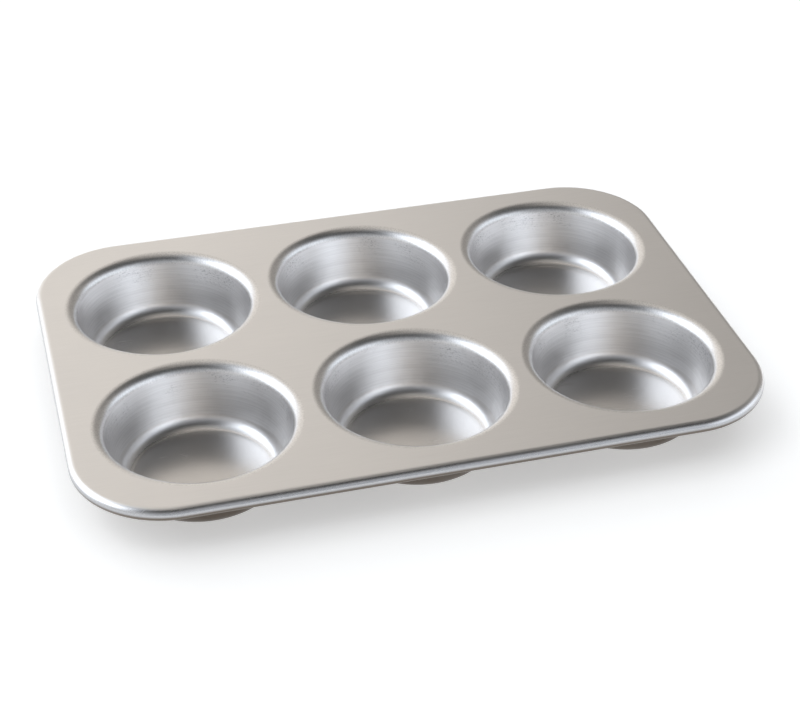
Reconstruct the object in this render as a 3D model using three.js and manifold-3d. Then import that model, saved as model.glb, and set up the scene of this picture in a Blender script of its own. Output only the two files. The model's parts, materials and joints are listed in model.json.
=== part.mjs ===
// A jumbo muffin tin with two rows of three cups.
//
// The tin is two pieces. The pan is one aluminium sheet: a flat deck with six deep-drawn cups, whose outer
// edge is curled under into a round bead. The rim wire is a steel wire bent to the outline of the pan, and
// the bead is curled round it, so it can't be seen and keeps the thin sheet from twisting in the oven.
//
// Millimetres, +Z up. X runs along the three cups of a row and Y across the two rows. The origin is on the
// surface the tin stands on, under the middle of the deck.

import * as THREE from "three";
import { mergeVertices } from "three/addons/utils/BufferGeometryUtils.js";
import Module from "manifold-3d";

const wasm = await Module();
wasm.setup();

// ---- Driving dimensions ----

const SHEET = 1; // thickness of the aluminium

const CUP_COLUMNS = 3; // along X
const CUP_ROWS = 2; // along Y
const THROAT_DIAMETER = 103.3; // inside the wall, where the lip's curve ends
const CUP_DEPTH = 37.4; // from the deck's top face to the floor's top face
const WALL_TAPER = THREE.MathUtils.degToRad(12); // lean of the wall from upright
const LIP_RADIUS = 6.8; // top face, where the deck turns down into the wall
const FLOOR_RADIUS = 9; // top face, where the wall turns in to the floor

const CUP_WEB = 6.7; // flat deck between two neighbouring lips
const END_LAND = 11.35; // flat deck between a lip and the bead at each short end
const SIDE_LAND = 12.8; // the same along each long side
const CORNER_RADIUS = 54; // in plan, over the bead

const WIRE_DIAMETER = 5.5;
const WIRE_CLEARANCE = 0.3; // between the wire and the sheet curled round it
const CURL_GAP = 0.4; // between the sheet's cut edge and the underside of the deck
const WIRE_BUTT_GAP = 1.5; // between the wire's two ends

// How finely the round stretches are cut into flats
const CUP_FACETS = 32; // round a cup
const BEND_FACETS = 4; // through a lip or a floor bend
const CORNER_FACETS = 8; // round a corner of the pan
const CURL_FACETS = 12; // round the three quarters of the bead that are clear of the deck
const HEM_FACETS = 2; // from there up to the sheet's cut edge
const WIRE_FACETS = 12; // round the wire's section

// ---- Sizes worked out from them ----

const DECK_TOP = CUP_DEPTH + SHEET;
const DECK_UNDERSIDE = DECK_TOP - SHEET;

const THROAT_RADIUS = THROAT_DIAMETER / 2;
const MOUTH_RADIUS = THROAT_RADIUS + LIP_RADIUS * Math.cos(WALL_TAPER); // where the lip leaves the flat deck
const CUP_PITCH = 2 * MOUTH_RADIUS + CUP_WEB;

const BEAD_HOLLOW_RADIUS = WIRE_DIAMETER / 2 + WIRE_CLEARANCE;
const BEAD_RADIUS = BEAD_HOLLOW_RADIUS + SHEET;
const BEAD_HEIGHT = DECK_TOP - BEAD_RADIUS; // of the bead's centre line, so that its top is level with the deck

// The bead's centre line is a rounded rectangle, and the flat deck reaches out to it.
const RIM_HALF_LENGTH = ((CUP_COLUMNS - 1) / 2) * CUP_PITCH + MOUTH_RADIUS + END_LAND;
const RIM_HALF_WIDTH = ((CUP_ROWS - 1) / 2) * CUP_PITCH + MOUTH_RADIUS + SIDE_LAND;
const RIM_CORNER_RADIUS = CORNER_RADIUS - BEAD_RADIUS;

const JOIN_OVERLAP = 1; // how far the curl's section runs into the deck, so that the two join soundly

// ---- Solids ----

/** A closed geometry as a manifold-3d solid, for joining and cutting. */
function solidOf(geometry) {
  const bare = geometry.index ? geometry.toNonIndexed() : geometry.clone();
  bare.deleteAttribute("normal");
  bare.deleteAttribute("uv");
  const merged = mergeVertices(bare);
  return new wasm.Manifold(
    new wasm.Mesh({
      numProp: 3,
      vertProperties: merged.getAttribute("position").array,
      triVerts: new Uint32Array(merged.index.array),
    }),
  );
}

/** A manifold-3d solid as a geometry. */
function geometryOf(solid) {
  const { vertProperties, triVerts } = solid.getMesh();
  const geometry = new THREE.BufferGeometry();
  geometry.setAttribute("position", new THREE.BufferAttribute(vertProperties, 3));
  geometry.setIndex(new THREE.BufferAttribute(triVerts, 1));
  geometry.computeVertexNormals();
  return geometry;
}

/** Points of an arc about (cx, cy) from one angle to another, both ends included. */
function arcPoints(cx, cy, radius, from, to, facets) {
  const arc = new THREE.ArcCurve(cx, cy, radius, from, to, to < from);
  return arc.getPoints(facets);
}

/** A profile of (radius, height) points turned about a cup's upright axis. */
function turned(profile) {
  return new THREE.LatheGeometry(profile, CUP_FACETS).rotateX(Math.PI / 2);
}

/**
 * A closed section swept along stations in the XY plane.
 *
 * Each station has a place and the direction that points away from the pan there. A section point (u, v) lies
 * u outwards from the station and v above the bead's centre line. The section runs anticlockwise.
 */
function swept(stations, section, closed) {
  const positions = stations.flatMap(({ place, outward }) =>
    section.flatMap(({ x: u, y: v }) => [place.x + u * outward.x, place.y + u * outward.y, BEAD_HEIGHT + v]),
  );
  const size = section.length;
  const index = [];
  const spans = closed ? stations.length : stations.length - 1;
  for (let i = 0; i < spans; i++) {
    const here = i * size;
    const next = ((i + 1) % stations.length) * size;
    for (let a = 0; a < size; a++) {
      const b = (a + 1) % size;
      index.push(here + a, next + a, next + b, here + a, next + b, here + b);
    }
  }
  if (!closed) {
    const last = (stations.length - 1) * size;
    for (const [a, b, c] of THREE.ShapeUtils.triangulateShape(section, [])) {
      index.push(a, b, c, last + a, last + c, last + b);
    }
  }
  const geometry = new THREE.BufferGeometry();
  geometry.setAttribute("position", new THREE.Float32BufferAttribute(positions, 3));
  geometry.setIndex(index);
  geometry.computeVertexNormals();
  return geometry;
}

// ---- Outline of the rim ----

/** Stations round the bead's centre line, anticlockwise from the middle of the back edge. */
function rimStations() {
  const across = RIM_HALF_LENGTH - RIM_CORNER_RADIUS;
  const along = RIM_HALF_WIDTH - RIM_CORNER_RADIUS;
  const corners = [
    [-across, along, Math.PI / 2],
    [-across, -along, Math.PI],
    [across, -along, (3 * Math.PI) / 2],
    [across, along, 2 * Math.PI],
  ];
  return corners.flatMap(([x, y, from]) =>
    arcPoints(x, y, RIM_CORNER_RADIUS, from, from + Math.PI / 2, CORNER_FACETS).map((place) => ({
      place,
      outward: place.clone().sub(new THREE.Vector2(x, y)).normalize(),
    })),
  );
}

/** The same stations, with both ends of the wire's butt joint in the middle of the back edge. */
function wireStations() {
  const outward = new THREE.Vector2(0, 1);
  const end = (side) => ({ place: new THREE.Vector2((side * WIRE_BUTT_GAP) / 2, RIM_HALF_WIDTH), outward });
  return [end(-1), ...rimStations(), end(1)];
}

// ---- The sheet ----

/** The flat deck, out to the bead's centre line. */
function deckSolid() {
  const outline = new THREE.Shape(rimStations().map(({ place }) => place));
  const slab = new THREE.ExtrudeGeometry(outline, { depth: SHEET, bevelEnabled: false });
  return solidOf(slab.translate(0, 0, DECK_UNDERSIDE));
}

/** The edge of the sheet: over the outside of the wire, under it, and back up to just below the deck. */
function curlSolid() {
  const top = Math.PI / 2;
  const inside = -Math.PI;
  const cutEdge = inside - Math.asin((BEAD_HOLLOW_RADIUS - CURL_GAP) / BEAD_RADIUS);
  const hollowFace = [
    ...arcPoints(0, 0, BEAD_HOLLOW_RADIUS, top, inside, CURL_FACETS),
    ...arcPoints(0, 0, BEAD_HOLLOW_RADIUS, inside, cutEdge, HEM_FACETS).slice(1),
  ];
  const outerFace = [
    ...arcPoints(0, 0, BEAD_RADIUS, cutEdge, inside, HEM_FACETS),
    ...arcPoints(0, 0, BEAD_RADIUS, inside, top, CURL_FACETS).slice(1),
  ];
  const section = [
    new THREE.Vector2(-JOIN_OVERLAP, BEAD_HOLLOW_RADIUS),
    ...hollowFace,
    ...outerFace,
    new THREE.Vector2(-JOIN_OVERLAP, BEAD_RADIUS),
  ];
  return solidOf(swept(rimStations(), section, true));
}

/**
 * One face of a cup as (radius, height) points, from the middle of the floor up to the deck.
 *
 * The two faces of the sheet share the centres of their bends. The lower face lies one sheet thickness
 * further from the centre of the floor's bend, and one nearer to the centre of the lip's.
 */
function cupFace(below) {
  const offset = below ? SHEET : 0;
  const lipCentre = new THREE.Vector2(MOUTH_RADIUS, DECK_TOP - LIP_RADIUS);
  const wallTop = lipCentre.y + LIP_RADIUS * Math.sin(WALL_TAPER);
  const floorCentreHeight = SHEET + FLOOR_RADIUS;
  const wallBottom = floorCentreHeight - FLOOR_RADIUS * Math.sin(WALL_TAPER);
  const wallRun = (wallTop - wallBottom) * Math.tan(WALL_TAPER);
  const floorEdge = THROAT_RADIUS - wallRun - FLOOR_RADIUS * Math.cos(WALL_TAPER);
  return [
    new THREE.Vector2(0, SHEET - offset),
    ...arcPoints(floorEdge, floorCentreHeight, FLOOR_RADIUS + offset, -Math.PI / 2, -WALL_TAPER, BEND_FACETS),
    ...arcPoints(lipCentre.x, lipCentre.y, LIP_RADIUS - offset, Math.PI - WALL_TAPER, Math.PI / 2, BEND_FACETS),
  ];
}

/** Everything inside one face of a cup, up to the given height. */
function cupFilling(below, height) {
  return turned([...cupFace(below), new THREE.Vector2(MOUTH_RADIUS, height), new THREE.Vector2(0, height)]);
}

/** The middle of each cup on the deck. */
function cupCentres() {
  const centres = [];
  for (let row = 0; row < CUP_ROWS; row++) {
    for (let column = 0; column < CUP_COLUMNS; column++) {
      const x = (column - (CUP_COLUMNS - 1) / 2) * CUP_PITCH;
      const y = (row - (CUP_ROWS - 1) / 2) * CUP_PITCH;
      centres.push([x, y]);
    }
  }
  return centres;
}

function panGeometry() {
  let pan = deckSolid().add(curlSolid());
  const outside = solidOf(cupFilling(true, DECK_TOP));
  const hollow = solidOf(cupFilling(false, DECK_TOP + SHEET));
  for (const [x, y] of cupCentres()) {
    pan = pan.add(outside.translate(x, y, 0)).subtract(hollow.translate(x, y, 0));
  }
  return geometryOf(pan);
}

// ---- The wire ----

function rimWireGeometry() {
  const section = arcPoints(0, 0, WIRE_DIAMETER / 2, 0, 2 * Math.PI, WIRE_FACETS).slice(0, -1);
  return swept(wireStations(), section, false);
}

// ---- The tin ----

const brushedAluminium = new THREE.MeshStandardMaterial({ color: 0xc9c5c0, roughness: 0.35, metalness: 1 });
const galvanisedSteel = new THREE.MeshStandardMaterial({ color: 0xa4a7a8, roughness: 0.5, metalness: 1 });

/** A named piece of the tin. */
function piece(name, geometry, material) {
  const mesh = new THREE.Mesh(geometry, material);
  mesh.name = name;
  return mesh;
}

const muffinTin = new THREE.Group();
muffinTin.add(piece("pan", panGeometry(), brushedAluminium));
muffinTin.add(piece("rim_wire", rimWireGeometry(), galvanisedSteel));

export default muffinTin;
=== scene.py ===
"""A jumbo muffin tin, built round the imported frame.

The tin is one sheet of aluminium with six drawn cups and an edge that is curled round a steel wire. The
sheet is made as a single smooth surface, from a cup's profile turned about its axis, a bead swept along the
rim and the flat deck between them, and is then given its thickness.
"""

import json
import logging
import math
from dataclasses import dataclass
from enum import Enum

import bmesh
import bpy
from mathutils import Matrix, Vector


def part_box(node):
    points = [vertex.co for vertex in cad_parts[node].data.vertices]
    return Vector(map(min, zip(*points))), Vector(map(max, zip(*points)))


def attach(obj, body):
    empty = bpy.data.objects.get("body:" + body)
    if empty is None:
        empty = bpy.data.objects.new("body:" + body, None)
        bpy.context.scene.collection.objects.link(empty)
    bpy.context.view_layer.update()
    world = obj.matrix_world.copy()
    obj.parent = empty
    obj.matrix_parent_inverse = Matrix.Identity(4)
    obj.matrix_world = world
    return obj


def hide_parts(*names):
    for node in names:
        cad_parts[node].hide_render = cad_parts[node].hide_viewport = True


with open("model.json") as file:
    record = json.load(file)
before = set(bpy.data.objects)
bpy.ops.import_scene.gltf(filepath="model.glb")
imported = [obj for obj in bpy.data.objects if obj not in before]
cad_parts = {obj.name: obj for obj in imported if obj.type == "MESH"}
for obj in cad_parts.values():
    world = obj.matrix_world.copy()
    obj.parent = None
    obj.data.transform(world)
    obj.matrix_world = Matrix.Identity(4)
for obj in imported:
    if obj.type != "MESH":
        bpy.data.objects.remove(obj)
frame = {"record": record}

LOG = logging.getLogger("muffin_tin")
MM = 0.001
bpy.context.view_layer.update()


# ---- Sizes ----


@dataclass(frozen=True)
class TinSizes:
    """Sizes that the pan, its wire and their finishes share, in metres and radians.

    The overall sizes come from the frame. The others are the gauge and the press tool's own.
    """

    rim_half_length: float
    rim_half_width: float
    deck_top: float
    bead_radius: float
    wire_radius: float
    cup_pitch: float
    sheet: float = 1.0 * MM
    cup_web: float = 6.7 * MM
    lip_radius: float = 6.8 * MM
    floor_radius: float = 9.0 * MM
    wall_taper: float = math.radians(12)
    corner_radius: float = 54.0 * MM
    curl_gap: float = 0.4 * MM
    wire_butt_gap: float = 1.5 * MM
    cup_columns: int = 3
    cup_rows: int = 2

    @classmethod
    def from_frame(cls) -> "TinSizes":
        """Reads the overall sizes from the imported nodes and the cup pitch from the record's mounts.

        Returns:
            The sizes of this tin.
        """
        pan_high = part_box("pan")[1]
        wire_low, wire_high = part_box("rim_wire")
        wire_radius = (wire_high[2] - wire_low[2]) / 2
        base = next(mount for mount in frame["record"]["mounts"] if mount["name"] == "base")
        rim_half_length = wire_high[0] - wire_radius
        return cls(
            rim_half_length=rim_half_length,
            rim_half_width=wire_high[1] - wire_radius,
            deck_top=pan_high[2],
            bead_radius=pan_high[0] - rim_half_length,
            wire_radius=wire_radius,
            cup_pitch=2 * abs(base["pos_m"][1]),
        )

    @property
    def bead_height(self) -> float:
        """Height of the bead's centre line, which puts the bead's top level with the deck."""
        return self.deck_top - self.bead_radius

    @property
    def rim_corner_radius(self) -> float:
        """Corner radius of the bead's centre line."""
        return self.corner_radius - self.bead_radius

    @property
    def mouth_radius(self) -> float:
        """Radius at which a lip leaves the flat deck."""
        return (self.cup_pitch - self.cup_web) / 2

    @property
    def throat_radius(self) -> float:
        """Inside radius where the lip's curve ends and the wall begins."""
        return self.mouth_radius - self.lip_radius * math.cos(self.wall_taper)

    @property
    def lip_centre_height(self) -> float:
        """Height of the centre of the lip's curve."""
        return self.deck_top - self.lip_radius

    @property
    def wall_top(self) -> float:
        """Height where the wall meets the lip."""
        return self.lip_centre_height + self.lip_radius * math.sin(self.wall_taper)

    @property
    def wall_bottom(self) -> float:
        """Height where the wall meets the floor's bend."""
        return self.floor_centre_height - self.floor_radius * math.sin(self.wall_taper)

    @property
    def floor_centre_height(self) -> float:
        """Height of the centre of the bend between wall and floor."""
        return self.sheet + self.floor_radius

    @property
    def floor_edge(self) -> float:
        """Radius of the flat floor."""
        wall_run = (self.wall_top - self.wall_bottom) * math.tan(self.wall_taper)
        return self.throat_radius - wall_run - self.floor_radius * math.cos(self.wall_taper)


# ---- Node trees ----


class TreeBuilder:
    """Adds nodes to a geometry or shader tree and links them in the same call."""

    def __init__(self, tree: bpy.types.NodeTree) -> None:
        """Keeps the tree that the nodes go into."""
        self.tree = tree

    def add(self, kind: str, values: dict | None = None, **settings: object) -> bpy.types.Node:
        """Adds one node.

        Args:
            kind: The node's type name.
            values: For each input socket, by name or number, a value or an output socket to link from.
            **settings: Properties of the node itself.

        Returns:
            The new node.
        """
        node = self.tree.nodes.new(kind)
        for name, value in settings.items():
            setattr(node, name, value)
        for key, value in (values or {}).items():
            if isinstance(value, bpy.types.NodeSocket):
                self.tree.links.new(value, node.inputs[key])
            else:
                node.inputs[key].default_value = value
        return node

    def math(self, operation: str, *values: object) -> bpy.types.NodeSocket:
        """Adds a Math node and returns its result.

        Args:
            operation: The node's operation, such as ADD.
            *values: Numbers or sockets for its inputs, in order.

        Returns:
            The result's socket.
        """
        node = self.add("ShaderNodeMath", dict(enumerate(values)), operation=operation)
        return node.outputs[0]

    def smooth(
        self, value: object, low: float, high: float, start: float = 0.0, end: float = 1.0
    ) -> bpy.types.NodeSocket:
        """Adds a smooth step that goes from start to end as the value goes from low to high.

        Args:
            value: The socket to read.
            low: Value at which the step starts.
            high: Value at which it ends.
            start: Result below the step.
            end: Result above the step.

        Returns:
            The result's socket.
        """
        values = {"Value": value, "From Min": low, "From Max": high, "To Min": start, "To Max": end}
        node = self.add("ShaderNodeMapRange", values, interpolation_type="SMOOTHSTEP")
        return node.outputs["Result"]

    def mix(self, factor: object, first: object, second: object) -> bpy.types.NodeSocket:
        """Adds a Mix node for two numbers and returns its result.

        Args:
            factor: Share of the second number.
            first: The first number or socket.
            second: The second number or socket.

        Returns:
            The result's socket.
        """
        node = self.add("ShaderNodeMix", {0: factor, 2: first, 3: second}, data_type="FLOAT")
        return node.outputs[0]

    def mix_colour(
        self, factor: object, first: object, second: object, blend: str = "MIX"
    ) -> bpy.types.NodeSocket:
        """Adds a Mix node for two colours and returns its result.

        Args:
            factor: Share of the second colour.
            first: The first colour or socket.
            second: The second colour or socket.
            blend: How the two are mixed.

        Returns:
            The result's socket.
        """
        node = self.add("ShaderNodeMix", {0: factor, 6: first, 7: second}, data_type="RGBA", blend_type=blend)
        return node.outputs[2]


class SocketKind(Enum):
    """Kinds of input that a geometry tree takes."""

    LENGTH = "NodeSocketFloat"
    COUNT = "NodeSocketInt"
    OBJECT = "NodeSocketObject"
    MATERIAL = "NodeSocketMaterial"


class GeometryTree(TreeBuilder):
    """A geometry node tree with named inputs."""

    def __init__(self, name: str) -> None:
        """Makes an empty tree with a geometry input and output."""
        super().__init__(bpy.data.node_groups.new(name, "GeometryNodeTree"))
        self.tree.interface.new_socket("Geometry", in_out="INPUT", socket_type="NodeSocketGeometry")
        self.tree.interface.new_socket("Geometry", in_out="OUTPUT", socket_type="NodeSocketGeometry")
        self.entry = self.add("NodeGroupInput")
        self.values: dict[str, object] = {}

    def input(self, name: str, kind: SocketKind, value: object) -> bpy.types.NodeSocket:
        """Adds a named input and the value that it is given.

        Args:
            name: What the input sizes or supplies.
            kind: The kind of value.
            value: The value itself.

        Returns:
            The input's socket inside the tree.
        """
        item = self.tree.interface.new_socket(name, in_out="INPUT", socket_type=kind.value)
        self.values[item.identifier] = value
        return next(socket for socket in self.entry.outputs if socket.identifier == item.identifier)

    def curve(self, name: str, curve: bpy.types.Object) -> bpy.types.NodeSocket:
        """Adds an input that supplies a curve object and returns the curve's socket."""
        supplied = self.input(name, SocketKind.OBJECT, curve)
        return self.add("GeometryNodeObjectInfo", {"Object": supplied}).outputs["Geometry"]

    def finish(self, geometry: bpy.types.NodeSocket, material: bpy.types.Material) -> None:
        """Ends the tree with the realized geometry in its material.

        Args:
            geometry: What the tree has made.
            material: The finish that its faces get.
        """
        real = self.add("GeometryNodeRealizeInstances", {"Geometry": geometry})
        supplied = self.input("Material", SocketKind.MATERIAL, material)
        dressed = self.add("GeometryNodeSetMaterial", {"Geometry": real.outputs[0], "Material": supplied})
        self.add("NodeGroupOutput", {0: dressed.outputs[0]})

    def mesh(self, name: str) -> bpy.types.Mesh:
        """Runs the tree and keeps its result as a plain mesh.

        Args:
            name: Name of the mesh.

        Returns:
            The mesh.
        """
        carrier = bpy.data.objects.new(name, bpy.data.meshes.new(name))
        bpy.context.scene.collection.objects.link(carrier)
        modifier = carrier.modifiers.new(self.tree.name, "NODES")
        modifier.node_group = self.tree
        for identifier, value in self.values.items():
            modifier[identifier] = value
        graph = bpy.context.evaluated_depsgraph_get()
        graph.update()
        mesh = bpy.data.meshes.new_from_object(carrier.evaluated_get(graph), depsgraph=graph)
        mesh.name = name
        bpy.data.objects.remove(carrier)
        return mesh


# ---- Curves and meshes ----


def arc(
    centre: tuple[float, float], radius: float, start: float, end: float, steps: int
) -> list[tuple[float, float]]:
    """Points of an arc, both ends included.

    Args:
        centre: The arc's centre.
        radius: Its radius.
        start: Angle of its first point.
        end: Angle of its last point.
        steps: How many chords it is cut into.

    Returns:
        The points, in order.
    """
    angles = [start + (end - start) * step / steps for step in range(steps + 1)]
    return [(centre[0] + radius * math.cos(angle), centre[1] + radius * math.sin(angle)) for angle in angles]


def polyline(name: str, points: list[tuple[float, ...]], closed: bool = False) -> bpy.types.Object:
    """Makes a curve object of straight chords.

    Args:
        name: Name of the object.
        points: Its points, with two or three coordinates.
        closed: Whether the last point joins the first.

    Returns:
        The object, linked to the scene.
    """
    data = bpy.data.curves.new(name, "CURVE")
    data.dimensions = "3D"
    spline = data.splines.new("POLY")
    spline.points.add(len(points) - 1)
    for target, point in zip(spline.points, points):
        target.co = (*point, *(0.0,) * (3 - len(point)), 1.0)
    spline.use_cyclic_u = closed
    made = bpy.data.objects.new(name, data)
    bpy.context.scene.collection.objects.link(made)
    return made


def profile(name: str, points: list[tuple[float, float]]) -> bpy.types.Object:
    """Makes a profile to sweep, from points as (distance outwards, height).

    A sweep round the tin turns a profile's second axis down, so the heights go in upside down.
    """
    return polyline(name, [(outwards, -height) for outwards, height in points])


def discard(*helpers: bpy.types.Object) -> None:
    """Removes curves that only shaped a piece."""
    for helper in helpers:
        bpy.data.objects.remove(helper)


def tidy_surface(mesh: bpy.types.Mesh, weld: float) -> None:
    """Welds a surface's seams and turns its faces one way, with level faces up.

    Args:
        mesh: The surface.
        weld: Points closer than this become one.
    """
    work = bmesh.new()
    work.from_mesh(mesh)
    bmesh.ops.remove_doubles(work, verts=work.verts, dist=weld)
    bmesh.ops.dissolve_degenerate(work, edges=work.edges, dist=weld / 10)
    bmesh.ops.recalc_face_normals(work, faces=work.faces)
    highest = max(work.faces, key=lambda face: face.calc_center_median().z)
    if highest.normal.z < 0:
        bmesh.ops.reverse_faces(work, faces=work.faces)
    for face in work.faces:
        face.smooth = True
    work.to_mesh(mesh)
    work.free()


def placed(name: str, mesh: bpy.types.Mesh) -> bpy.types.Object:
    """Makes an object of a mesh, at the origin, and links it to the scene."""
    made = bpy.data.objects.new(name, mesh)
    bpy.context.scene.collection.objects.link(made)
    return made


# ---- Finishes ----


class Side(Enum):
    """The two faces of the sheet."""

    TOP = "top"
    UNDERSIDE = "underside"


@dataclass(frozen=True)
class Zones:
    """Masks, from 0 to 1, for the parts of the tin that the press finished differently."""

    cup: bpy.types.NodeSocket
    lip: bpy.types.NodeSocket
    wall: bpy.types.NodeSocket
    wall_head: bpy.types.NodeSocket
    die_line: bpy.types.NodeSocket
    floor: bpy.types.NodeSocket
    bead: bpy.types.NodeSocket
    # These two bands carry painted shade on the bead's lower side and foot, not a finish of the press.
    bead_side_shade: bpy.types.NodeSocket
    bead_foot_shade: bpy.types.NodeSocket


@dataclass(frozen=True)
class DrawnAluminium:
    """Bare rolled aluminium sheet after it has been drawn into cups and curled at the edge.

    The flat deck and the cup floors keep the mill's straight grain, and the cup floors are painted darker as
    painted shade at the bottom of each cup. The lips carry a fine speckle where the sheet was stretched. The
    walls are painted paler and cooler as painted light, and carry the scuffs and rings of the draw, with
    galled patches near their heads. The bead's side is painted darker as painted shade. The bead's foot and
    the
    underside are painted dark brown: painted shade, with a warm tint of oven browning. Noise scales are in
    cycles per metre.
    """

    name: str = "drawn_aluminium"
    metal: tuple[float, float, float] = (0.92, 0.9, 0.88)
    painted_wall_light: tuple[float, float, float] = (0.96, 0.95, 0.945)
    painted_floor_shade: tuple[float, float, float] = (0.8, 0.775, 0.75)
    painted_bead_shade: tuple[float, float, float] = (0.5, 0.505, 0.52)
    painted_shade_brown: tuple[float, float, float] = (0.165, 0.138, 0.114)
    deck_roughness: float = 0.34
    bend_roughness: float = 0.32
    wall_roughness: float = 0.34
    floor_roughness: float = 0.25
    bead_roughness: float = 0.27
    relief_height: float = 0.02 * MM
    relief_strength: float = 0.25
    grain_scale: tuple[float, float, float] = (40.0, 2200.0, 600.0)
    ring_scale: tuple[float, float, float] = (1.5, 260.0, 1500.0)
    scuff_scale: tuple[float, float, float] = (650.0, 650.0, 1700.0)
    peel_scale: tuple[float, float, float] = (1100.0, 1100.0, 1100.0)
    cloud_scale: tuple[float, float, float] = (28.0, 28.0, 28.0)
    galled_shade: float = 0.66
    grain_relief: float = 0.22
    scuff_relief: float = 0.5
    peel_relief: float = 1.2
    die_line_relief: float = 0.6

    def material(self, sizes: TinSizes, side: Side) -> bpy.types.Material:
        """Builds the material.

        Args:
            sizes: Sizes of the tin, which place the finish's zones.
            side: The face of the sheet that it is for.

        Returns:
            The material.
        """
        made = bpy.data.materials.new(f"{self.name}_{side.value}")
        made.use_nodes = True
        made.node_tree.nodes.clear()
        tree = TreeBuilder(made.node_tree)
        place = tree.add("ShaderNodeTexCoord").outputs["Object"]
        cup_place, radius = self._cup_place(tree, place, sizes)
        zones = self._zones(tree, place, radius, sizes)

        grain = self._noise(tree, place, self.grain_scale, detail=3.0)
        rings = self._noise(tree, self._round_place(tree, cup_place, radius), self.ring_scale, detail=3.0)
        scuffs = self._noise(tree, cup_place, self.scuff_scale, detail=4.0)
        peel = self._noise(tree, cup_place, self.peel_scale, detail=3.0)
        clouds = self._noise(tree, place, self.cloud_scale, detail=4.0)

        rough = tree.mix(zones.cup, self.deck_roughness, self.bend_roughness)
        rough = tree.mix(zones.bead, rough, self.bead_roughness)
        rough = tree.mix(zones.wall, rough, self.wall_roughness)
        rough = tree.mix(zones.floor, rough, self.floor_roughness)
        rough = tree.math("ADD", rough, tree.smooth(clouds, 0.3, 0.7, -0.02, 0.02))
        rough = tree.math("ADD", rough, tree.smooth(grain, 0.3, 0.7, -0.012, 0.012))

        streaks = tree.smooth(rings, 0.3, 0.7, 0.93, 1.05)
        shade = tree.mix(zones.wall, tree.smooth(grain, 0.25, 0.75, 0.97, 1.01), streaks)
        shade = tree.mix(zones.lip, shade, tree.smooth(peel, 0.35, 0.65, 0.83, 1.0))
        patches = tree.math("MULTIPLY", tree.smooth(clouds, 0.46, 0.58), zones.wall_head)
        galled = tree.math("MULTIPLY", tree.smooth(scuffs, 0.5, 0.64), patches)
        shade = tree.math("MULTIPLY", shade, tree.mix(galled, 1.0, self.galled_shade))
        tint = tree.add("ShaderNodeCombineColor", {0: shade, 1: shade, 2: shade}).outputs[0]
        # Dark brown for the underside and the bead's foot: painted shade for the shaded floor they mirror,
        # with a warm tint of oven browning.
        shade_brown = (*self.painted_shade_brown, 1.0)
        if side is Side.UNDERSIDE:
            base = tree.mix_colour(tree.smooth(clouds, 0.35, 0.65, 0.0, 0.06), shade_brown, (*self.metal, 1.0))
        else:
            # The walls are painted paler and cooler than the deck: painted light that brightens them.
            base = tree.mix_colour(zones.wall, (*self.metal, 1.0), (*self.painted_wall_light, 1.0))
            # The cup floors are painted darker: painted shade at the bottom of each cup.
            base = tree.mix_colour(zones.floor, base, (*self.painted_floor_shade, 1.0))
            # The bead's lower side is painted darker: painted shade for the shaded floor that it mirrors.
            base = tree.mix_colour(zones.bead_side_shade, base, (*self.painted_bead_shade, 1.0))
            # The bead's foot is painted the same dark brown as painted shade.
            base = tree.mix_colour(zones.bead_foot_shade, base, shade_brown)
        colour = tree.mix_colour(1.0, base, tint, blend="MULTIPLY")

        flat = tree.math("SUBTRACT", 1.0, tree.math("MAXIMUM", zones.cup, zones.bead))
        level = tree.math("MAXIMUM", flat, zones.floor)
        grained = tree.math("MULTIPLY", tree.math("MULTIPLY", grain, self.grain_relief), level)
        rubbed = tree.math("ADD", rings, tree.math("MULTIPLY", scuffs, self.scuff_relief))
        drawn = tree.math("MULTIPLY", rubbed, zones.wall)
        stretched = tree.math("MULTIPLY", tree.math("MULTIPLY", peel, self.peel_relief), zones.lip)
        marked = tree.math("MULTIPLY", zones.die_line, self.die_line_relief)
        relief = tree.math("ADD", tree.math("ADD", grained, drawn), tree.math("ADD", stretched, marked))
        bump = tree.add(
            "ShaderNodeBump",
            {"Strength": self.relief_strength, "Distance": self.relief_height, "Height": relief},
        )
        shader = tree.add(
            "ShaderNodeBsdfPrincipled",
            {"Base Color": colour, "Metallic": 1.0, "Roughness": rough, "Normal": bump.outputs["Normal"]},
        )
        tree.add("ShaderNodeOutputMaterial", {"Surface": shader.outputs[0]})
        return made

    @staticmethod
    def _cup_place(
        tree: TreeBuilder, place: bpy.types.NodeSocket, sizes: TinSizes
    ) -> tuple[bpy.types.NodeSocket, bpy.types.NodeSocket]:
        """Measures the place in the tin from the axis of the nearest cup.

        Args:
            tree: The material's tree.
            place: Where on the tin the material is read.
            sizes: Sizes of the tin.

        Returns:
            The place from the nearest cup's centre, and the distance from its axis.
        """
        axes = tree.add("ShaderNodeSeparateXYZ", {0: place})
        offsets = []
        for axis, count in (("X", sizes.cup_columns), ("Y", sizes.cup_rows)):
            middle = (count - 1) / 2
            pitches = tree.math("MULTIPLY_ADD", axes.outputs[axis], 1 / sizes.cup_pitch, middle)
            nearest = tree.math("MAXIMUM", tree.math("ROUND", pitches), 0.0)
            number = tree.math("MINIMUM", nearest, count - 1.0)
            centre = tree.math("MULTIPLY", tree.math("SUBTRACT", number, middle), sizes.cup_pitch)
            offsets.append(tree.math("SUBTRACT", axes.outputs[axis], centre))
        across, along = offsets
        level = tree.add("ShaderNodeCombineXYZ", {0: across, 1: along}).outputs[0]
        radius = tree.add("ShaderNodeVectorMath", {0: level}, operation="LENGTH").outputs["Value"]
        cup_place = tree.add("ShaderNodeCombineXYZ", {0: across, 1: along, 2: axes.outputs["Z"]}).outputs[0]
        return cup_place, radius

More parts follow.
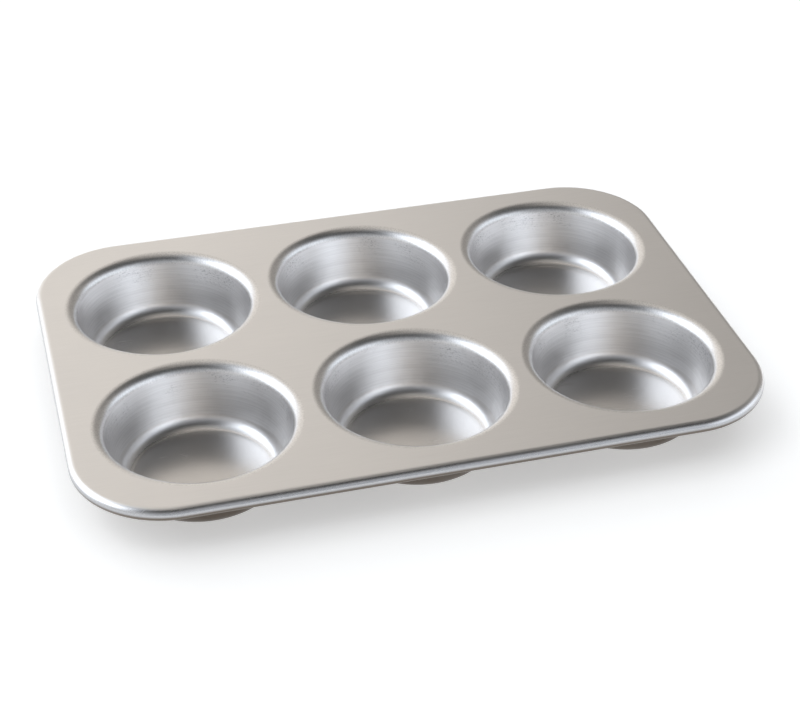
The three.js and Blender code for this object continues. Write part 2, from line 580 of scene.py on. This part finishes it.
    @staticmethod
    def _round_place(
        tree: TreeBuilder, cup_place: bpy.types.NodeSocket, radius: bpy.types.NodeSocket
    ) -> bpy.types.NodeSocket:
        """Turns a place in a cup into its bearing, distance from the axis and height."""
        axes = tree.add("ShaderNodeSeparateXYZ", {0: cup_place})
        bearing = tree.math("ABSOLUTE", tree.math("ARCTAN2", axes.outputs["X"], axes.outputs["Y"]))
        return tree.add("ShaderNodeCombineXYZ", {0: bearing, 1: radius, 2: axes.outputs["Z"]}).outputs[0]

    @staticmethod
    def _zones(
        tree: TreeBuilder, place: bpy.types.NodeSocket, radius: bpy.types.NodeSocket, sizes: TinSizes
    ) -> Zones:
        """Masks the parts of the tin by height and by distance from the cup's axis.

        Args:
            tree: The material's tree.
            place: Where on the tin the material is read.
            radius: Distance from the nearest cup's axis.
            sizes: Sizes of the tin.

        Returns:
            The masks.
        """
        blur = 0.6 * MM
        head = 16.0 * MM
        height = tree.add("ShaderNodeSeparateXYZ", {0: place}).outputs["Z"]
        cup = tree.smooth(radius, sizes.mouth_radius - blur, sizes.mouth_radius + blur, 1.0, 0.0)
        below_lip = tree.smooth(height, sizes.wall_top - blur, sizes.wall_top + blur, 1.0, 0.0)
        above_bend = tree.smooth(height, sizes.wall_bottom - blur, sizes.wall_bottom + blur)
        wall = tree.math("MULTIPLY", tree.math("MULTIPLY", below_lip, above_bend), cup)
        floor_band = (sizes.sheet + 0.3 * MM, sizes.sheet + 1.2 * MM)
        shoulder_band = (sizes.deck_top - 0.9 * MM, sizes.deck_top - 0.1 * MM)
        # Band where the bead's lower side is painted darker as painted shade.
        side_shade_band = (sizes.bead_height + 1.0 * MM, sizes.bead_height + 3.0 * MM)
        # Band where the bead's foot is painted dark brown as painted shade.
        foot_shade_band = (sizes.bead_height - 1.0 * MM, sizes.bead_height + 0.8 * MM)
        low = tree.smooth(height, *floor_band, 1.0, 0.0)
        off_deck = tree.smooth(height, *shoulder_band, 1.0, 0.0)
        bead = tree.math("MULTIPLY", off_deck, tree.math("SUBTRACT", 1.0, cup))
        side = tree.smooth(height, *side_shade_band, 1.0, 0.0)
        foot = tree.smooth(height, *foot_shade_band, 1.0, 0.0)
        die_line = tree.math("COMPARE", height, sizes.wall_top - blur, blur / 2)
        near_top = tree.smooth(height, sizes.wall_top - head, sizes.wall_top)
        return Zones(
            cup=cup,
            lip=tree.math("MULTIPLY", tree.math("SUBTRACT", 1.0, below_lip), cup),
            wall=wall,
            die_line=tree.math("MULTIPLY", die_line, wall),
            wall_head=tree.math("MULTIPLY", near_top, wall),
            floor=tree.math("MULTIPLY", low, cup),
            bead=bead,
            bead_side_shade=tree.math("MULTIPLY", side, bead),
            bead_foot_shade=tree.math("MULTIPLY", foot, bead),
        )

    @staticmethod
    def _noise(
        tree: TreeBuilder, place: bpy.types.NodeSocket, scale: tuple[float, float, float], detail: float
    ) -> bpy.types.NodeSocket:
        """Adds a noise stretched along its axes.

        Args:
            tree: The material's tree.
            place: Where on the piece the pattern is read.
            scale: Cycles per metre along each axis.
            detail: Octaves of finer noise.

        Returns:
            The noise's value, from 0 to 1.
        """
        scaled = tree.add("ShaderNodeMapping", {"Vector": place, "Scale": scale}).outputs[0]
        values = {"Vector": scaled, "Scale": 1.0, "Detail": detail, "Roughness": 0.6}
        return tree.add("ShaderNodeTexNoise", values).outputs["Fac"]


@dataclass(frozen=True)
class GalvanisedWire:
    """Drawn steel wire with a dull zinc coat."""

    name: str = "galvanised_wire"
    metal: tuple[float, float, float] = (0.58, 0.6, 0.62)
    spangle: tuple[float, float, float] = (0.7, 0.72, 0.74)
    spangle_scale: float = 700.0
    pit_scale: float = 1800.0
    pit_depth: float = 0.02 * MM

    def material(self) -> bpy.types.Material:
        """Builds the material and returns it."""
        made = bpy.data.materials.new(self.name)
        made.use_nodes = True
        made.node_tree.nodes.clear()
        tree = TreeBuilder(made.node_tree)
        place = tree.add("ShaderNodeTexCoord").outputs["Object"]
        cells = tree.add("ShaderNodeTexVoronoi", {"Vector": place, "Scale": self.spangle_scale})
        zinc = tree.add("ShaderNodeSeparateColor", {0: cells.outputs["Color"]}).outputs[0]
        colour = tree.mix_colour(zinc, (*self.metal, 1.0), (*self.spangle, 1.0))
        rough = tree.smooth(zinc, 0.0, 1.0, 0.38, 0.55)
        pits = tree.add("ShaderNodeTexNoise", {"Vector": place, "Scale": self.pit_scale, "Detail": 3.0})
        bump = tree.add(
            "ShaderNodeBump",
            {"Strength": 0.3, "Distance": self.pit_depth, "Height": pits.outputs["Fac"]},
        )
        shader = tree.add(
            "ShaderNodeBsdfPrincipled",
            {"Base Color": colour, "Metallic": 1.0, "Roughness": rough, "Normal": bump.outputs["Normal"]},
        )
        tree.add("ShaderNodeOutputMaterial", {"Surface": shader.outputs[0]})
        return made


# ---- The pan ----


@dataclass
class Pan:
    """The drawn sheet: deck, cups and curled edge."""

    sizes: TinSizes
    finish: DrawnAluminium
    cup_steps: int = 128
    bend_steps: int = 12
    corner_steps: int = 24
    curl_steps: int = 24
    hold: float = 0.35 * MM
    weld: float = 0.02 * MM

    def cup_profile(self) -> list[tuple[float, float]]:
        """The top face of a cup, from just outside its mouth to the middle of its floor.

        A narrow band beside each bend holds the flat stretches flat.

        Returns:
            Points as (distance outside the mouth's ring, height).
        """
        sizes = self.sizes
        lip = arc(
            (sizes.mouth_radius, sizes.lip_centre_height),
            sizes.lip_radius,
            math.pi / 2,
            math.pi - sizes.wall_taper,
            self.bend_steps,
        )
        bend = arc(
            (sizes.floor_edge, sizes.floor_centre_height),
            sizes.floor_radius,
            -sizes.wall_taper,
            -math.pi / 2,
            self.bend_steps,
        )
        slope = (math.sin(sizes.wall_taper) * self.hold, math.cos(sizes.wall_taper) * self.hold)
        points = [
            (self.ring_radius, sizes.deck_top),
            *lip,
            (lip[-1][0] - slope[0], lip[-1][1] - slope[1]),
            (bend[0][0] + slope[0], bend[0][1] + slope[1]),
            *bend,
            (sizes.floor_edge - self.hold, sizes.sheet),
            (sizes.floor_edge / 2, sizes.sheet),
            (0.0, sizes.sheet),
        ]
        return [(radius - self.ring_radius, height) for radius, height in points]

    @property
    def ring_radius(self) -> float:
        """Radius of the ring where a cup's surface meets the deck's."""
        return self.sizes.mouth_radius + self.hold

    def bead_profile(self) -> list[tuple[float, float]]:
        """The outer face of the curled edge, from the deck to its cut edge.

        Returns:
            Points as (distance outside the bead's centre line, height).
        """
        sizes = self.sizes
        hollow = sizes.bead_radius - sizes.sheet
        cut_edge = -math.pi - math.asin((hollow - sizes.curl_gap) / sizes.bead_radius)
        centre = (0.0, sizes.bead_height)
        quarter = math.pi / 2
        over = arc(centre, sizes.bead_radius, quarter, -quarter, self.curl_steps)
        under = arc(centre, sizes.bead_radius, -quarter, cut_edge, self.curl_steps)
        return [(-self.hold, sizes.deck_top), *over, *under[1:]]

    def surface(self, material: bpy.types.Material) -> bpy.types.Mesh:
        """Makes the sheet's top face: cups, bead and the deck between them.

        Args:
            material: The pan's finish.

        Returns:
            The surface, with no thickness yet.
        """
        sizes = self.sizes
        cup_curve = profile("cup_profile", self.cup_profile())
        bead_curve = profile("bead_profile", self.bead_profile())
        tree = GeometryTree("pan_surface")
        length = tree.input("Rim Length", SocketKind.LENGTH, 2 * sizes.rim_half_length)
        width = tree.input("Rim Width", SocketKind.LENGTH, 2 * sizes.rim_half_width)
        corner = tree.input("Corner Radius", SocketKind.LENGTH, sizes.rim_corner_radius)
        corner_steps = tree.input("Corner Steps", SocketKind.COUNT, self.corner_steps)
        ring_radius = tree.input("Ring Radius", SocketKind.LENGTH, self.ring_radius)
        cup_steps = tree.input("Cup Steps", SocketKind.COUNT, self.cup_steps)
        pitch = tree.input("Cup Pitch", SocketKind.LENGTH, sizes.cup_pitch)
        columns = tree.input("Cup Columns", SocketKind.COUNT, sizes.cup_columns)
        rows = tree.input("Cup Rows", SocketKind.COUNT, sizes.cup_rows)
        deck_top = tree.input("Deck Top", SocketKind.LENGTH, sizes.deck_top)
        weld = tree.input("Weld", SocketKind.LENGTH, self.weld)

        oblong = tree.add("GeometryNodeCurvePrimitiveQuadrilateral", {"Width": length, "Height": width})
        rim = tree.add(
            "GeometryNodeFilletCurve",
            {"Curve": oblong.outputs[0], "Radius": corner, "Count": corner_steps},
            mode="POLY",
        )
        bead = tree.add(
            "GeometryNodeCurveToMesh",
            {"Curve": rim.outputs[0], "Profile Curve": tree.curve("Bead Profile", bead_curve)},
        )
        ring = tree.add("GeometryNodeCurvePrimitiveCircle", {"Resolution": cup_steps, "Radius": ring_radius})
        cup = tree.add(
            "GeometryNodeCurveToMesh",
            {"Curve": ring.outputs[0], "Profile Curve": tree.curve("Cup Profile", cup_curve)},
        )
        grid = tree.add(
            "GeometryNodeMeshGrid",
            {
                "Size X": tree.math("MULTIPLY", pitch, tree.math("SUBTRACT", columns, 1.0)),
                "Size Y": tree.math("MULTIPLY", pitch, tree.math("SUBTRACT", rows, 1.0)),
                "Vertices X": columns,
                "Vertices Y": rows,
            },
        )
        cups = tree.add(
            "GeometryNodeInstanceOnPoints",
            {"Points": grid.outputs[0], "Instance": cup.outputs[0]},
        )
        drawn = tree.add("GeometryNodeRealizeInstances", {"Geometry": cups.outputs[0]})
        formed = tree.add("GeometryNodeJoinGeometry")
        tree.tree.links.new(bead.outputs[0], formed.inputs[0])
        tree.tree.links.new(drawn.outputs[0], formed.inputs[0])

        sides = tree.add("GeometryNodeInputMeshEdgeNeighbors").outputs[0]
        position = tree.add("GeometryNodeInputPosition").outputs[0]
        height = tree.add("ShaderNodeSeparateXYZ", {0: position}).outputs["Z"]
        open_edge = tree.math("COMPARE", sides, 1.0, 0.5)
        level = tree.math("GREATER_THAN", height, tree.math("SUBTRACT", deck_top, weld))
        outline = tree.add(
            "GeometryNodeMeshToCurve",
            {"Mesh": formed.outputs[0], "Selection": tree.math("MULTIPLY", open_edge, level)},
        )
        flat = tree.add("GeometryNodeFillCurve", {"Curve": outline.outputs[0]}, mode="TRIANGLES")
        lift = tree.add("ShaderNodeCombineXYZ", {2: deck_top})
        deck = tree.add(
            "GeometryNodeTransform",
            {"Geometry": flat.outputs[0], "Translation": lift.outputs[0]},
        )
        whole = tree.add("GeometryNodeJoinGeometry")
        tree.tree.links.new(formed.outputs[0], whole.inputs[0])
        tree.tree.links.new(deck.outputs[0], whole.inputs[0])
        welded = tree.add("GeometryNodeMergeByDistance", {"Geometry": whole.outputs[0], "Distance": weld})
        tree.finish(welded.outputs[0], material)
        mesh = tree.mesh("pan_surface")
        discard(cup_curve, bead_curve)
        tidy_surface(mesh, self.weld)
        return mesh

    def build(self) -> bpy.types.Object:
        """Gives the surface its thickness and dresses it.

        Returns:
            The finished pan.
        """
        surface = placed("pan_surface", self.surface(self.finish.material(self.sizes, Side.TOP)))
        surface.data.materials.append(self.finish.material(self.sizes, Side.UNDERSIDE))
        wall = surface.modifiers.new("thickness", "SOLIDIFY")
        wall.material_offset = 1
        wall.thickness = self.sizes.sheet
        wall.offset = -1.0
        wall.use_even_offset = True
        surface.modifiers.new("normals", "WEIGHTED_NORMAL")
        graph = bpy.context.evaluated_depsgraph_get()
        graph.update()
        mesh = bpy.data.meshes.new_from_object(surface.evaluated_get(graph), depsgraph=graph)
        discard(surface)
        mesh.name = "drawn_pan"
        pan = placed("drawn_pan", mesh)
        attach(pan, "root")
        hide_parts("pan")
        return pan


# ---- The wire ----


@dataclass
class RimWire:
    """The steel wire inside the bead, one length bent to the outline of the pan."""

    sizes: TinSizes
    finish: GalvanisedWire
    corner_steps: int = 24
    section_steps: int = 24
    weld: float = 0.01 * MM

    def path(self) -> list[tuple[float, float, float]]:
        """The wire's centre line, from one side of its butt joint round to the other."""
        sizes = self.sizes
        radius = sizes.rim_corner_radius
        across = sizes.rim_half_length - radius
        along = sizes.rim_half_width - radius
        centres = [(-across, along), (-across, -along), (across, -along), (across, along)]
        points = [(-sizes.wire_butt_gap / 2, sizes.rim_half_width)]
        for turn, centre in enumerate(centres, start=1):
            start = turn * math.pi / 2
            points += arc(centre, radius, start, start + math.pi / 2, self.corner_steps)
        points.append((sizes.wire_butt_gap / 2, sizes.rim_half_width))
        return [(x, y, sizes.bead_height) for x, y in points]

    def build(self) -> bpy.types.Object:
        """Sweeps the wire and dresses it.

        Returns:
            The finished wire.
        """
        route = polyline("wire_route", self.path())
        tree = GeometryTree("rim_wire_sweep")
        radius = tree.input("Wire Radius", SocketKind.LENGTH, self.sizes.wire_radius)
        steps = tree.input("Section Steps", SocketKind.COUNT, self.section_steps)
        section = tree.add("GeometryNodeCurvePrimitiveCircle", {"Resolution": steps, "Radius": radius})
        wire = tree.add(
            "GeometryNodeCurveToMesh",
            {
                "Curve": tree.curve("Route", route),
                "Profile Curve": section.outputs[0],
                "Fill Caps": True,
            },
        )
        tree.finish(wire.outputs[0], self.finish.material())
        mesh = tree.mesh("reinforcing_wire")
        discard(route)
        tidy_surface(mesh, self.weld)
        made = placed("reinforcing_wire", mesh)
        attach(made, "root")
        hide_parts("rim_wire")
        return made


# ---- The studio ----


@dataclass(frozen=True)
class Softbox:
    """A square light that faces the tin and shades the floor.

    It stays out of reflections, which show the surround's panels instead.
    """

    name: str
    azimuth: float
    elevation: float
    distance: float
    width: float
    power: float

    def build(self, target: Vector) -> None:
        """Makes the light, facing the target."""
        data = bpy.data.lights.new(self.name, "AREA")
        data.shape = "SQUARE"
        data.size = self.width
        data.energy = self.power
        made = bpy.data.objects.new(self.name, data)
        made.location = target + self.distance * direction(self.azimuth, self.elevation)
        made.rotation_euler = (target - made.location).to_track_quat("-Z", "Y").to_euler()
        made.visible_glossy = False
        bpy.context.scene.collection.objects.link(made)


class Tint(Enum):
    """Colours of light in the studio, as shares of a panel's brightness."""

    WARM = (1.05, 1.0, 0.94)
    NEUTRAL = (0.98, 1.0, 1.03)
    COOL = (0.93, 1.0, 1.1)


@dataclass(frozen=True)
class Panel:
    """A pale panel of the surround, seen in the metal, with soft edges. Angles are in degrees."""

    azimuth: float
    elevation: float
    half_width: float
    half_height: float
    brightness: float
    tint: Tint
    edge: float = 15.0

    def over(
        self,
        tree: TreeBuilder,
        azimuth: bpy.types.NodeSocket,
        elevation: bpy.types.NodeSocket,
        below: object,
    ) -> bpy.types.NodeSocket:
        """Lays the panel over what is behind it.

        Args:
            tree: The world's tree.
            azimuth: Direction of view round from the front, in degrees.
            elevation: Direction of view above the floor, in degrees.
            below: Colour of the surround without the panel.

        Returns:
            Colour of the surround with it.
        """
        offset = tree.math("WRAP", tree.math("SUBTRACT", azimuth, self.azimuth), 180.0, -180.0)
        turn = tree.math("ABSOLUTE", offset)
        rise = tree.math("ABSOLUTE", tree.math("SUBTRACT", elevation, self.elevation))
        beside = tree.smooth(turn, self.half_width - self.edge, self.half_width + self.edge, 1.0, 0.0)
        level = tree.smooth(rise, self.half_height - self.edge, self.half_height + self.edge, 1.0, 0.0)
        colour = [self.brightness * share for share in self.tint.value]
        return tree.mix_colour(tree.math("MULTIPLY", beside, level), below, (*colour, 1.0))


def direction(azimuth: float, elevation: float) -> Vector:
    """The direction out from the tin towards a place in the studio.

    Args:
        azimuth: Degrees round from the front (-Y) towards the right (+X).
        elevation: Degrees above the floor.

    Returns:
        A unit vector.
    """
    turn, rise = math.radians(azimuth), math.radians(elevation)
    return Vector((math.sin(turn) * math.cos(rise), -math.cos(turn) * math.cos(rise), math.sin(rise)))


@dataclass
class Studio:
    """A pale floor, a soft surround and the camera."""

    aim: tuple[float, float, float] = (0.00583, -0.00519, 0.02)
    camera_azimuth: float = -15.04
    camera_elevation: float = 34.38
    camera_distance: float = 1.0733
    lens: float = 81.68
    wall_colour: tuple[float, float, float] = (0.5, 0.52, 0.56)
    ceiling_colour: tuple[float, float, float] = (0.04, 0.04, 0.04)
    ceiling_edge: float = 60.0
    floor_paint: tuple[float, float, float] = (0.84, 0.86, 0.88)
    floor_roughness: float = 0.9
    floor_glow: float = 0.46
    floor_half_width: float = 6.0
    panels: tuple[Panel, ...] = (
        Panel(0.0, 90.0, 220.0, 15.0, 0.35, Tint.WARM, edge=10.0),
        Panel(130.0, 20.0, 40.0, 25.0, 0.3, Tint.WARM),
        Panel(-168.0, 30.0, 30.0, 45.0, 0.8, Tint.WARM),
        Panel(170.0, 60.0, 20.0, 20.0, 0.55, Tint.WARM, edge=10.0),
        Panel(65.0, 10.0, 40.0, 20.0, 1.15, Tint.COOL),
        Panel(-105.0, 30.0, 40.0, 30.0, 1.9, Tint.COOL, edge=20.0),
        Panel(-60.0, 5.0, 30.0, 15.0, 0.75, Tint.NEUTRAL, edge=10.0),
    )
    softboxes: tuple[Softbox, ...] = (
        Softbox("overhead", 0.0, 90.0, 6.0, 8.0, 150.0),
        Softbox("back_right", 150.0, 28.0, 6.0, 5.0, 30.0),
        Softbox("back_left", -145.0, 28.0, 6.0, 5.0, 95.0),
        Softbox("front", 0.0, 52.0, 6.0, 4.0, 65.0),
        Softbox("front_left", -70.0, 52.0, 6.0, 4.0, 105.0),
    )

    @property
    def target(self) -> Vector:
        """The point that the camera and the softboxes face."""
        return Vector(self.aim)

    def camera(self) -> None:
        """Makes the camera."""
        data = bpy.data.cameras.new("camera")
        data.lens = self.lens
        data.sensor_width = 36.0
        made = bpy.data.objects.new("camera", data)
        towards = direction(self.camera_azimuth, self.camera_elevation)
        made.location = self.target + self.camera_distance * towards
        made.rotation_euler = (-towards).to_track_quat("-Z", "Y").to_euler()
        bpy.context.scene.collection.objects.link(made)
        bpy.context.scene.camera = made

    def floor(self) -> None:
        """Makes the floor."""
        mesh = bpy.data.meshes.new("floor")
        work = bmesh.new()
        bmesh.ops.create_grid(work, x_segments=1, y_segments=1, size=self.floor_half_width)
        work.to_mesh(mesh)
        work.free()
        made = placed("floor", mesh)
        paint = bpy.data.materials.new("floor_paint")
        paint.use_nodes = True
        shader = paint.node_tree.nodes["Principled BSDF"]
        shader.inputs["Base Color"].default_value = (*self.floor_paint, 1.0)
        shader.inputs["Roughness"].default_value = self.floor_roughness
        shader.inputs["Specular IOR Level"].default_value = 0.0
        shader.inputs["Emission Color"].default_value = (1.0, 1.0, 1.0, 1.0)
        shader.inputs["Emission Strength"].default_value = self.floor_glow
        mesh.materials.append(paint)

    def surround(self) -> None:
        """Makes the walls, the dark ceiling and the panels that the metal reflects.

        The surround is only seen in reflections. The softboxes light the floor.
        """
        world = bpy.data.worlds.new("studio")
        bpy.context.scene.world = world
        world.use_nodes = True
        world.node_tree.nodes.clear()
        tree = TreeBuilder(world.node_tree)
        way = tree.add("ShaderNodeSeparateXYZ", {0: tree.add("ShaderNodeTexCoord").outputs["Generated"]})
        ahead = tree.math("MULTIPLY", way.outputs["Y"], -1.0)
        azimuth = tree.math("DEGREES", tree.math("ARCTAN2", way.outputs["X"], ahead))
        elevation = tree.math("DEGREES", tree.math("ARCSINE", way.outputs["Z"]))
        height = tree.smooth(elevation, 0.0, self.ceiling_edge)
        colour = tree.mix_colour(height, (*self.wall_colour, 1.0), (*self.ceiling_colour, 1.0))
        for panel in self.panels:
            colour = panel.over(tree, azimuth, elevation, colour)
        light = tree.add("ShaderNodeBackground", {"Color": colour, "Strength": 1.0})
        tree.add("ShaderNodeOutputWorld", {"Surface": light.outputs[0]})
        world.cycles_visibility.diffuse = False

    def build(self) -> None:
        """Makes the whole studio."""
        self.camera()
        self.floor()
        self.surround()
        for softbox in self.softboxes:
            softbox.build(self.target)


def main() -> None:
    """Builds the tin and its studio."""
    logging.basicConfig(level=logging.INFO, format="%(message)s")
    bpy.context.scene.view_settings.view_transform = "Standard"
    sizes = TinSizes.from_frame()
    Studio().build()
    for part in (Pan(sizes, DrawnAluminium()), RimWire(sizes, GalvanisedWire())):
        piece = part.build()
        LOG.info("built %s with %d faces", piece.name, len(piece.data.polygons))


if __name__ == "__main__":
    main()
